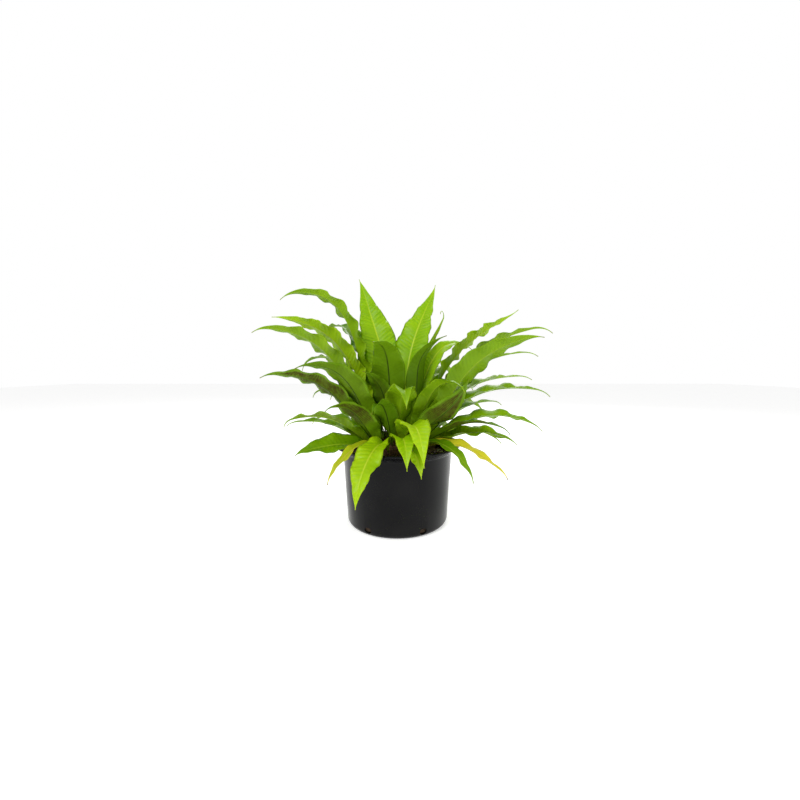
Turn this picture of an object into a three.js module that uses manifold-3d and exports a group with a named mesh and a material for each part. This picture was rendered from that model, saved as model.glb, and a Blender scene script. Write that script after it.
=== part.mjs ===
// Potted bird's nest fern: a rosette of waved fronds on a short rhizome in a round nursery pot.
// Millimetres, +Z up. The origin is the centre of the pot's underside, and the front is towards -Y.
import * as THREE from 'three';
import Module from 'manifold-3d';
import { mergeVertices } from 'three/addons/utils/BufferGeometryUtils.js';

const wasm = await Module();
wasm.setup();
const { Manifold, Mesh } = wasm;

// Pot: a thin tapered wall with a flared rim and drain holes round its bottom corner
const POT_HEIGHT = 161;
const POT_RIM_R = 127;
const POT_WALL = 2;
const POT_FLOOR = 2.4;
const POT_FOOT_R = 93; // the flat underside ends here
const POT_BASE_R = 102.4; // outside, just above the bottom corner
const POT_BASE_Z = 9;
const POT_NECK_R = 110; // outside, where the rim begins to flare
const POT_NECK_Z = 144;
const POT_SEGMENTS = 48;
const DRAIN_COUNT = 6;
const DRAIN_FIRST = 58; // degrees round from +X
const DRAIN_WIDTH = 15;
const DRAIN_HEIGHT = 12;
const DRAIN_Z = 11;

// Potting mix: fills the pot to below its rim, with a hollow for the crown
const SOIL_Z = 135;
const SOIL_BUMP = 2.4;
const SOIL_SEGMENTS = 28;
const FIT = 0.4; // clearance between pieces that touch

// Crown: the domed rhizome that carries every frond
const CROWN_R = 58;
const CROWN_RISE = 31;
const CROWN_FOOT_Z = 126;
const CROWN_SEGMENTS = 30;
const ROOT_DEPTH = 6.5; // how far a stipe stands in its hole
const HOLE_DEPTH = 7;
const HOLE_R = 3.6;
const RINGS = [51, 43.5, 36, 28, 19.5, 7.5]; // radius of each ring of fronds, the outermost first

// Fronds: a rib on a smooth curve with a folded, waved blade on each side of it
const SPINE_STEPS = 150;
const TAIL_STEPS = 40;
const START_PULL = 0.46; // how far each end direction holds, as a share of the chord
const END_PULL = 0.36;
const TAIL_SHARE = 0.13; // length of the tail, as a share of the chord
const CURL_SHARE = 0.11; // and of a young frond's curled end
const CURL_TURN = 90; // a tail that bends up past this is a curl
const BASE_POWER = 1.25; // the outline rises with this power and falls with the next
const TIP_POWER = 1.4;
const STIPE_HALF = 2.3;
const TIP_HALF = 0.7;
const WAVE_LENGTH = 44;
const WAVE_FROM = 0.12;
const WAVE_TO = 0.93;
const BLADE = 0.9;
const BASE_FOLD = 50; // degrees, where the blade leaves the stipe

// One row for each frond: ring, azimuth, how far round its root lies from that, reach and height
// of the tip, slope at the root and where the tail begins, how far the tail bends down, half width,
// roll about the rib, sideways sway of the tip, fold, wave height and kind. Angles are in degrees.
const FRONDS = {
  // young upright fronds at the back of the heart
  frond_01: [3, 128, -14, 152, 514, 84, 62, 8, 37, -30, -6, 10, 5, 'young'],
  frond_02: [4, 48, 8, 131, 496, 85, 54, -14, 35, 20, 4, 10, 4, 'young'],
  frond_03: [3, 70, 14, 180, 450, 76, 56, 10, 18, 10, 0, 16, 3, 'leaf'],
  frond_04: [3, 54, 5, 172, 438, 84, 52, -220, 8, 20, 0, 20, 1, 'young'],
  frond_05: [4, 149, -2, 136, 426, 82, 62, -330, 7, 0, -10, 20, 1, 'young'],
  // inner tier
  frond_06: [4, 172, 0, 246, 452, 62, 2, 46, 26, 36, 0, 14, 5, 'leaf'],
  frond_07: [3, 174, 0, 264, 417, 66, 14, 14, 28, 44, -6, 12, 5, 'young'],
  frond_08: [2, 184, 0, 284, 380, 60, 8, 44, 28, 34, 0, 14, 5, 'leaf'],
  frond_09: [3, 18, -4, 282, 440, 64, 28, -10, 27, -40, 0, 14, 5, 'young'],
  frond_10: [3, 3, -7, 318, 382, 58, 14, 56, 23, -20, 0, 18, 4, 'leaf'],
  frond_11: [2, -12, 0, 278, 368, 50, 18, 30, 33, -44, 0, 10, 3, 'leaf'],
  frond_12: [4, -104, -24, 160, 353, 85, 4, 10, 32, 14, 0, 10, 2, 'old'],
  frond_13: [4, -38, 24, 114, 370, 63, 32, 20, 25, -12, 0, 14, 1, 'old'],
  frond_14: [2, 30, 4, 200, 348, 80, -14, 30, 21, 30, 0, 12, 2, 'young'],
  frond_15: [3, -84, -2, 152, 245, 82, -50, 30, 31, 0, 0, 22, 4, 'leaf'],
  frond_16: [2, -51, 6, 178, 270, 61, -14, 60, 21, -10, 0, 20, 3, 'leaf'],
  frond_17: [2, 86, 0, 254, 300, 68, -30, 20, 25, 0, 0, 18, 3, 'leaf'],
  frond_18: [3, 136, 0, 270, 382, 66, -14, 50, 26, 0, 0, 16, 4, 'leaf'],
  // middle tier
  frond_19: [2, 213, 2, 207, 310, 54, 2, 34, 28, 30, -6, 12, 3, 'old'],
  frond_20: [1, 195, 0, 262, 293, 52, 4, 36, 28, 32, -6, 14, 4, 'old'],
  frond_21: [1, -2, 0, 306, 254, 50, -6, 44, 24, 8, 0, 18, 4, 'leaf'],
  frond_22: [1, 18, 4, 324, 284, 50, 2, 34, 20, 0, 0, 18, 4, 'leaf'],
  frond_23: [1, -44, -4, 170, 292, 56, 56, -6, 26, -40, 0, 18, 2, 'old'],
  frond_24: [2, -79, 0, 214, 164, 44, -60, 14, 27, 0, 0, 22, 3, 'young'],
  frond_25: [1, 98, 0, 278, 240, 56, -24, 30, 29, 0, 0, 16, 4, 'leaf'],
  frond_26: [2, 114, 0, 280, 280, 64, -24, 30, 29, 0, 0, 16, 4, 'leaf'],
  frond_27: [2, 150, 2, 262, 304, 58, -20, 60, 25, 0, 0, 16, 4, 'leaf'],
  frond_28: [2, 58, 0, 282, 280, 64, -24, 30, 29, 0, 0, 16, 4, 'leaf'],
  frond_29: [1, 46, 0, 282, 250, 54, -20, 30, 28, 0, 0, 16, 4, 'leaf'],
  // outer tier
  frond_30: [0, 193, 0, 222, 199, 46, -12, 70, 24, 14, 0, 16, 4, 'leaf'],
  frond_31: [1, 222, 0, 168, 236, 42, 0, 50, 29, 26, 0, 14, 4, 'old'],
  frond_32: [1, -85, -2, 186, 152, 30, -56, 14, 22, 0, 0, 22, 3, 'young'],
  frond_33: [0, -6, 2, 287, 187, 34, -20, 34, 26, 12, 0, 16, 4, 'leaf'],
  frond_34: [1, -26, 0, 224, 193, 29, -14, 50, 23, -6, 0, 14, 3, 'old'],
  frond_35: [0, 18, 2, 245, 228, 38, 0, 50, 20, 0, 0, 18, 3, 'leaf'],
  frond_36: [0, 38, 0, 272, 200, 42, -24, 30, 25, 0, 0, 18, 4, 'leaf'],
  frond_37: [0, 62, 0, 264, 190, 42, -24, 30, 25, 0, 0, 18, 4, 'leaf'],
  frond_38: [1, 75, 0, 268, 214, 50, -26, 30, 26, 0, 0, 18, 4, 'leaf'],
  frond_39: [0, 104, 0, 262, 186, 42, -24, 30, 25, 0, 0, 18, 4, 'leaf'],
  frond_40: [1, 130, 0, 275, 228, 50, -24, 40, 26, 0, 0, 18, 4, 'leaf'],
  frond_41: [1, 160, 0, 200, 246, 50, -16, 60, 22, 0, 0, 18, 4, 'leaf'],
  // lowest tier, over the rim
  frond_42: [0, 173, 0, 238, 188, 28, -6, 40, 17, -6, 0, 18, 3, 'leaf'],
  frond_43: [0, 211, 0, 210, 157, 20, -6, 36, 30, -26, 0, 12, 4, 'leaf'],
  frond_44: [0, 230, 0, 182, 115, 46, -46, 40, 13, 0, 0, 14, 3, 'yellow'],
  frond_45: [0, 251, 0, 186, 86, 67, -72, 14, 25, 0, -6, 10, 4, 'young'],
  frond_46: [0, -76, 0, 166, 132, 12, -52, 14, 18, 0, 0, 22, 3, 'young'],
  frond_47: [0, -49, 1, 194, 120, 42, -50, 36, 15, 0, 0, 16, 3, 'leaf'],
  frond_48: [0, -31, -3, 226, 117, 30, -30, 40, 18, 0, 0, 16, 3, 'yellow'],
  frond_49: [0, -16, -4, 234, 167, 24, -18, 34, 23, 14, 0, 14, 4, 'leaf'],
  frond_50: [0, 6, 0, 222, 150, 20, -30, 30, 21, 0, 0, 16, 4, 'leaf'],
  frond_51: [0, 50, 0, 216, 142, 25, -34, 30, 21, 0, 0, 16, 4, 'leaf'],
  frond_52: [0, 84, 0, 222, 132, 24, -34, 30, 22, 0, 0, 16, 4, 'leaf'],
  frond_53: [0, 122, 0, 216, 140, 24, -34, 30, 21, 0, 0, 16, 4, 'leaf'],
  frond_54: [0, 152, 0, 226, 180, 26, -20, 50, 20, 0, 0, 16, 4, 'leaf'],
  frond_55: [2, -106, 0, 150, 236, 68, -20, 30, 21, 20, 0, 16, 4, 'old'],
  frond_56: [3, -126, 0, 104, 306, 81, 30, 20, 20, 36, 0, 14, 3, 'old'],
  frond_57: [2, 10, 5, 308, 336, 52, 6, 40, 14, -10, 0, 18, 3, 'leaf'],
};

const CURL_STATIONS = 9;
const COLOURS = { young: 0xa8cc1c, leaf: 0x74a012, old: 0x3f6e0c, yellow: 0xe2d84a };
const deg = THREE.MathUtils.degToRad;
const { lerp, smoothstep } = THREE.MathUtils;

// Repeatable draw between 0 and 1
const draw = (a, b) => {
  const x = Math.sin(a * 12.9898 + b * 78.233) * 43758.5453;
  return x - Math.floor(x);
};

const polar = (az, r, z) => new THREE.Vector3(r * Math.cos(deg(az)), r * Math.sin(deg(az)), z);
const heading = (az, rise) => polar(az, Math.cos(deg(rise)), Math.sin(deg(rise)));

// Geometry from points and triangles
function solid(points, faces) {
  const g = new THREE.BufferGeometry();
  const flat = points.flatMap((p) => [p.x, p.y, p.z]);
  g.setAttribute('position', new THREE.Float32BufferAttribute(flat, 3));
  g.setIndex(faces.flat());
  return g;
}

// Lathe about Z of a profile of [radius, height] points, listed from the axis round to the axis
function turned(profile, segments, bump = () => 0) {
  const points = profile.map(([r, z]) => new THREE.Vector2(r, z));
  const g = new THREE.LatheGeometry(points, segments);
  g.rotateX(Math.PI / 2);
  const p = g.attributes.position;
  for (let i = 0; i < p.count; i += 1) {
    const [x, y, z] = [p.getX(i), p.getY(i), p.getZ(i)];
    p.setZ(i, z + bump(Math.hypot(x, y), Math.atan2(y, x), z));
  }
  return g;
}

function toManifold(geometry) {
  const bare = geometry.clone();
  bare.deleteAttribute('normal');
  bare.deleteAttribute('uv');
  const merged = mergeVertices(bare, 1e-3);
  const mesh = new Mesh({
    numProp: 3,
    vertProperties: new Float32Array(merged.attributes.position.array),
    triVerts: new Uint32Array(merged.index.array),
  });
  return new Manifold(mesh);
}

function fromManifold(made) {
  const mesh = made.getMesh();
  const g = new THREE.BufferGeometry();
  g.setAttribute('position', new THREE.Float32BufferAttribute(mesh.vertProperties, 3));
  g.setIndex([...mesh.triVerts]);
  return g;
}

// Straight rod from a point along a direction
function rod(from, direction, length, radius, sides) {
  const g = new THREE.CylinderGeometry(radius, radius, length, sides);
  g.translate(0, length / 2, 0);
  const turn = new THREE.Quaternion().setFromUnitVectors(new THREE.Vector3(0, 1, 0), direction);
  g.applyQuaternion(turn);
  g.translate(from.x, from.y, from.z);
  return g;
}

// Pot
function potGeometry() {
  const profile = [
    [0, 0],
    [POT_FOOT_R, 0],
    [POT_FOOT_R + 4.2, 1.1],
    [POT_BASE_R - 2, 4.2],
    [POT_BASE_R, POT_BASE_Z],
    [POT_NECK_R, POT_NECK_Z],
    [POT_NECK_R + 1.2, POT_NECK_Z + 2.2],
    [POT_RIM_R - 3.4, POT_HEIGHT - 4.4],
    [POT_RIM_R - 0.8, POT_HEIGHT - 4.2],
    [POT_RIM_R, POT_HEIGHT - 3.4],
    [POT_RIM_R, POT_HEIGHT - 0.9],
    [POT_RIM_R - 1, POT_HEIGHT],
    [POT_RIM_R - 3, POT_HEIGHT],
    [POT_RIM_R - 4.4, POT_HEIGHT - 1.2],
    [POT_NECK_R - POT_WALL + 1.2, POT_NECK_Z + 3.4],
    [POT_NECK_R - POT_WALL, POT_NECK_Z + 0.8],
    [POT_BASE_R - POT_WALL, POT_BASE_Z + 0.5],
    [POT_BASE_R - POT_WALL - 2, POT_BASE_Z - 3.6],
    [POT_FOOT_R - 0.5, POT_FLOOR],
    [0, POT_FLOOR],
  ];
  let pot = toManifold(turned(profile, POT_SEGMENTS));
  for (let i = 0; i < DRAIN_COUNT; i += 1) {
    pot = pot.subtract(toManifold(drainCutter(DRAIN_FIRST + (i * 360) / DRAIN_COUNT)));
  }
  return fromManifold(pot);
}

// Oval rod through the wall at one azimuth
function drainCutter(az) {
  const g = new THREE.CylinderGeometry(1, 1, 30, 12);
  g.rotateZ(-Math.PI / 2); // along +X
  g.scale(1, DRAIN_HEIGHT / 2, DRAIN_WIDTH / 2);
  g.rotateX(Math.PI / 2);
  g.translate(POT_BASE_R, 0, DRAIN_Z);
  g.rotateZ(deg(az));
  return g;
}

// Potting mix
function soilGeometry() {
  const wallR = (z) => lerp(POT_BASE_R, POT_NECK_R, (z - POT_BASE_Z) / (POT_NECK_Z - POT_BASE_Z))
    - POT_WALL - FIT;
  const hollow = CROWN_R + FIT;
  const profile = [
    [0, POT_FLOOR + FIT],
    [POT_FOOT_R - 1.5, POT_FLOOR + FIT],
    [POT_BASE_R - POT_WALL - 2.8, POT_BASE_Z - 2.6],
    [wallR(POT_BASE_Z + 3) - 0.2, POT_BASE_Z + 3],
    [wallR(SOIL_Z - 3), SOIL_Z - 3],
    [96, SOIL_Z + 0.4],
    [84, SOIL_Z],
    [70, SOIL_Z + 0.6],
    [hollow + 4, SOIL_Z + 0.2],
    [hollow, SOIL_Z - 1.6],
    [hollow, CROWN_FOOT_Z - FIT],
    [0, CROWN_FOOT_Z - FIT],
  ];
  const bump = (r, angle, z) => {
    if (z < SOIL_Z - 2 || r > 100 || r < hollow + 1) return 0;
    const step = Math.round(((angle / Math.PI + 1) * SOIL_SEGMENTS) / 2) % SOIL_SEGMENTS;
    return SOIL_BUMP * (draw(step, Math.round(r)) - 0.5);
  };
  return turned(profile, SOIL_SEGMENTS, bump);
}

// Height of the crown's dome at a radius
const domeZ = (r) => SOIL_Z + CROWN_RISE * Math.sqrt(1 - (r / CROWN_R) ** 2);

// Where a frond's stipe leaves the crown, and its first direction
function rootOf([ring, az, turn, , , start]) {
  return {
    surface: polar(az + turn, RINGS[ring], domeZ(RINGS[ring])),
    along: heading(az + turn, start),
  };
}

// Crown
function crownGeometry() {
  const profile = [[0, CROWN_FOOT_Z], [CROWN_R - 2, CROWN_FOOT_Z], [CROWN_R, CROWN_FOOT_Z + 2]];
  for (const r of [57, 54.5, 49.5, 42, 32, 20, 8]) profile.push([r, domeZ(r)]);
  profile.push([0, domeZ(0)]);
  let crown = toManifold(turned(profile, CROWN_SEGMENTS));
  for (const row of Object.values(FRONDS)) {
    const { surface, along } = rootOf(row);
    const bottom = surface.clone().addScaledVector(along, -HOLE_DEPTH);
    crown = crown.subtract(toManifold(rod(bottom, along, HOLE_DEPTH + 14, HOLE_R, 7)));
  }
  return fromManifold(crown);
}

// Points along a frond's rib, with the length walked up to each
function spineOf(row) {
  const [, az, , reach, height, , end, tail, , , sway] = row;
  const { surface, along } = rootOf(row);
  const from = surface.addScaledVector(along, -ROOT_DEPTH);
  const tip = polar(az, reach, height).addScaledVector(heading(az + 90, 0), sway);
  const chord = tip.distanceTo(from);
  const last = heading(az + THREE.MathUtils.radToDeg(sway / reach), end);

  // the tail is walked from its own start, then moved so that it ends at the tip
  const tailLength = (tail < -CURL_TURN ? CURL_SHARE : TAIL_SHARE) * chord;
  const side = heading(az + 90, 0);
  const steps = [new THREE.Vector3()];
  const t = last.clone();
  for (let i = 0; i < TAIL_STEPS; i += 1) {
    t.applyAxisAngle(side, (deg(tail) / TAIL_STEPS) * (0.5 + (i + 0.5) / TAIL_STEPS));
    steps.push(steps[i].clone().addScaledVector(t, tailLength / TAIL_STEPS));
  }
  const neck = tip.clone().sub(steps.at(-1));
  const bezier = new THREE.CubicBezierCurve3(
    from,
    from.clone().addScaledVector(along, START_PULL * chord),
    neck.clone().addScaledVector(last, -END_PULL * chord),
    neck,
  );
  const points = bezier.getPoints(SPINE_STEPS);
  for (const step of steps.slice(1)) points.push(step.add(neck));
  const walked = [0];
  for (let i = 1; i < points.length; i += 1) {
    walked.push(walked[i - 1] + points[i].distanceTo(points[i - 1]));
  }
  return { points, walked, length: walked.at(-1), tailLength, az };
}

// Point and frame of the rib at a share u of its length: along, side and the upper face's normal
function frameAt(spine, u, roll) {
  const { points, walked, length, az } = spine;
  const at = (s) => {
    const want = THREE.MathUtils.clamp(s, 0, 1) * length;
    let i = 1;
    while (i < walked.length - 1 && walked[i] < want) i += 1;
    const k = (want - walked[i - 1]) / (walked[i] - walked[i - 1]);
    return points[i - 1].clone().lerp(points[i], k);
  };
  const point = at(u);
  const along = at(u + 0.008).sub(at(u - 0.008)).normalize();
  const side = heading(az + 90, 0);
  side.addScaledVector(along, -side.dot(along)).normalize();
  const up = along.clone().cross(side).normalize();
  const turn = deg(roll) * smoothstep(u, 0.1, 0.6);
  side.applyAxisAngle(along, turn);
  up.applyAxisAngle(along, turn);
  return { point, side, up };
}

// Half width of the blade at a share of the length, 1 at its widest
const WIDEST = BASE_POWER / (BASE_POWER + TIP_POWER);
const outline = (u) => (u / WIDEST) ** BASE_POWER * ((1 - u) / (1 - WIDEST)) ** TIP_POWER;

function frondGeometry(index, row) {
  const [, , , , , , , tail, width, roll, , fold, wave] = row;
  const spine = spineOf(row);
  const crests = Math.max(4, Math.round((2 * spine.length * (WAVE_TO - WAVE_FROM)) / WAVE_LENGTH));
  const stations = [0, 0.045];
  for (let k = 0; k <= crests; k += 1) stations.push(lerp(WAVE_FROM, WAVE_TO, k / crests));
  if (tail < -CURL_TURN) {
    const from = 1 - spine.tailLength / spine.length;
    while (stations.at(-1) > from - 0.02) stations.pop();
    for (let k = 0; k < CURL_STATIONS; k += 1) stations.push(lerp(from, 1, k / CURL_STATIONS));
  } else stations.push(0.968);
  stations.push(1);

  const points = [];
  stations.forEach((u, j) => {
    const { point, side, up } = frameAt(spine, u, roll);
    const blade = smoothstep(u, 0.03, 0.15);
    const half = Math.max(width * outline(u) * blade, lerp(STIPE_HALF, TIP_HALF, u));
    const angle = deg(blade * lerp(BASE_FOLD, fold, smoothstep(u, 0.1, 0.55)));
    const crest = j - 2;
    const waved = crest > 0 && crest < crests;
    const rib = lerp(1, 0.35, u);
    const row6 = {};
    for (const s of [1, -1]) {
      const out = side.clone().multiplyScalar(s * Math.cos(angle)).addScaledVector(up, Math.sin(angle));
      const normal = up.clone().multiplyScalar(Math.cos(angle)).addScaledVector(side, -s * Math.sin(angle));
      const swell = smoothstep(u, WAVE_FROM, WAVE_FROM + 0.2) * (1 - smoothstep(u, 0.75, WAVE_TO));
      const size = wave * swell * lerp(0.6, 1.4, draw(index * 3 + s, crest));
      const lift = waved ? (crest % 2 ? 1 : -1) * size * (draw(index, 7) < 0.5 ? 1 : s) : 0;
      const edge = point.clone().addScaledVector(out, half).addScaledVector(normal, lift);
      row6[s] = [
        edge.clone().addScaledVector(normal, BLADE / 2),
        edge.clone().addScaledVector(normal, -BLADE / 2),
      ];
    }
    const top = point.clone().addScaledVector(up, lerp(1.3, 0.45, smoothstep(u, 0, 0.3)));
    const bottom = point.clone().addScaledVector(up, -lerp(0.45, 1.55, rib));
    points.push(row6[-1][0], top, row6[1][0], row6[1][1], bottom, row6[-1][1]);
  });

  // Six strips between stations; the upper and lower face of a half share a diagonal from
  // the margin to the next station's rib, so the two never cross
  const faces = [];
  const forward = [true, false, true, true, false, false];
  const quad = (a, b, c, d, cut) => {
    if (cut) faces.push([a, c, b], [a, d, c]);
    else faces.push([a, d, b], [b, d, c]);
  };
  for (let j = 0; j < stations.length - 1; j += 1) {
    for (let i = 0; i < 6; i += 1) {
      const next = (i + 1) % 6;
      quad(j * 6 + i, j * 6 + next, (j + 1) * 6 + next, (j + 1) * 6 + i, forward[i]);
    }
  }
  const end = (stations.length - 1) * 6;
  for (const [a, b, c] of [[0, 1, 5], [1, 4, 5], [1, 2, 4], [2, 3, 4]]) {
    faces.push([a, b, c], [end + a, end + c, end + b]);
  }
  return solid(points, faces);
}

function named(name, geometry, colour, roughness) {
  const material = new THREE.MeshStandardMaterial({ color: colour, roughness });
  const mesh = new THREE.Mesh(geometry, material);
  mesh.name = name;
  return mesh;
}

const fern = new THREE.Group();
fern.name = 'potted_birds_nest_fern';
fern.add(named('pot', potGeometry(), 0x1c1c1d, 0.35));
fern.add(named('potting_mix', soilGeometry(), 0x3b2a1c, 0.95));
fern.add(named('crown', crownGeometry(), 0x4a3a22, 0.9));
Object.entries(FRONDS).forEach(([name, row], i) => {
  const geometry = frondGeometry(i + 1, row);
  fern.add(named(name, geometry, COLOURS[row[13]], 0.45));
});

export default fern;
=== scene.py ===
# %% [markdown]
# A potted bird's nest fern
#
# This lesson dresses a fern in a nursery pot. The imported frame holds the plain solids: a pot, its
# potting mix, a domed crown and one solid for each frond. Here every frond gets a fine, waved
# surface with a rib, veins and a margin painted lighter for the light that comes through it, and
# the pot, the mix and the crown get their finish.
# All sizes are in metres, and the front of the plant faces -Y.

import bpy
import numpy as np
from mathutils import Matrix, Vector


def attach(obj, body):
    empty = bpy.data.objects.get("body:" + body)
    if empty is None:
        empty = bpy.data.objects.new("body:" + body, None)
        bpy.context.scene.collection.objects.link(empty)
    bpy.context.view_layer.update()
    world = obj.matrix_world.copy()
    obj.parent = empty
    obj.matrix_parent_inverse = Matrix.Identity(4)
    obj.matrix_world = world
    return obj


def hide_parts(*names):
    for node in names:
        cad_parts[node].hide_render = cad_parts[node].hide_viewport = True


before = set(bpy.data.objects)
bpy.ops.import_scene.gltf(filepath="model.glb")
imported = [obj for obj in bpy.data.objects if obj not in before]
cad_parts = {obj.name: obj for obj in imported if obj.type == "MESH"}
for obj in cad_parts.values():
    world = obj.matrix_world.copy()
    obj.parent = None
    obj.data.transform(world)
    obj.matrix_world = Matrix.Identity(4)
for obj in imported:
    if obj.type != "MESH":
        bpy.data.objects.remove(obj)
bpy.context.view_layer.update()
MM = 0.001
print("solids in the frame:", len(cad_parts))

# %% [markdown]
# The camera
#
# The view is that of a wide lens held close to the plant, a little above the pot's rim and pitched
# down by five degrees, so that the rim shows as a thin ellipse and the fronds fan out towards us.

# %% Camera
PITCH = 5.22
camera_data = bpy.data.cameras.new("camera")
camera_data.sensor_width = 36
camera_data.lens = 16.37
camera = bpy.data.objects.new("camera", camera_data)
camera.location = (0.0053, -0.7365, 0.3139)
camera.rotation_euler = (np.radians(90 - PITCH), 0, 0)
bpy.context.scene.collection.objects.link(camera)
bpy.context.scene.camera = camera
print("camera height", camera.location.z)

# %% [markdown]
# Floor and light
#
# A pale floor runs back into a pale room. Three large soft lamps stand in for a studio: a high one
# in front on the left, a weaker one on the right, and one behind that lights the fronds through
# their blades. Large lamps give the soft, wide glints that a leathery frond shows. The room is
# dimmer as a light than to the camera, which keeps depth in the shade between the fronds, and the
# floor glows faintly, so that it stays as pale as the room behind it.


# %% Floor and lamps
def soft_lamp(name, place, aim, size, power):
    """A square area lamp at a place, turned so that its light goes towards the aim."""
    lamp = bpy.data.lights.new(name, "AREA")
    lamp.size = size
    lamp.energy = power
    holder = bpy.data.objects.new(name, lamp)
    holder.location = place
    holder.rotation_euler = (Vector(aim) - Vector(place)).to_track_quat("-Z", "Y").to_euler()
    bpy.context.scene.collection.objects.link(holder)


floor_mesh = bpy.data.meshes.new("floor")
floor_mesh.from_pydata([(-6, -6, 0), (6, -6, 0), (6, 6, 0), (-6, 6, 0)], [], [(0, 1, 2, 3)])
floor = bpy.data.objects.new("floor", floor_mesh)
bpy.context.scene.collection.objects.link(floor)
floor_paint = bpy.data.materials.new("pale_floor")
floor_paint.use_nodes = True
floor_shader = floor_paint.node_tree.nodes["Principled BSDF"]
floor_shader.inputs["Base Color"].default_value = (0.95, 0.95, 0.945, 1)
floor_shader.inputs["Roughness"].default_value = 0.6
floor_shader.inputs["Emission Color"].default_value = (1, 1, 1, 1)
floor_shader.inputs["Emission Strength"].default_value = 0.42
floor_mesh.materials.append(floor_paint)

soft_lamp("key", (-0.9, -1.3, 1.6), (0, 0, 0.25), 0.9, 24)
soft_lamp("fill", (1.4, -0.9, 0.9), (0, 0, 0.25), 1.2, 9)
soft_lamp("back", (0.4, 1.5, 1.5), (0, 0, 0.3), 1.4, 20)
world = bpy.data.worlds.new("room")
world.use_nodes = True
room = world.node_tree
room.nodes["Background"].inputs["Color"].default_value = (1, 1, 1, 1)
ray = room.nodes.new("ShaderNodeLightPath")
dimmed = room.nodes.new("ShaderNodeMapRange")
dimmed.inputs["To Min"].default_value = 0.55
dimmed.inputs["To Max"].default_value = 1.0
room.links.new(ray.outputs["Is Camera Ray"], dimmed.inputs["Value"])
room.links.new(dimmed.outputs["Result"], room.nodes["Background"].inputs["Strength"])
bpy.context.scene.world = world
bpy.context.scene.view_settings.view_transform = "Standard"
print("lamps and floor made")

# %% [markdown]
# The plant's own numbers
#
# Each frond has one row: its ring on the crown, its azimuth, how far round its root lies from that,
# the reach and height of its tip, its slope at the root and where the tail begins, how far the tail
# bends down, half width, roll about the rib, sideways sway, fold, wave height and kind. Lengths here
# are in millimetres and angles in degrees. The solids were grown from the same rows, so a surface
# worked out from a row lies where its solid does.

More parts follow.
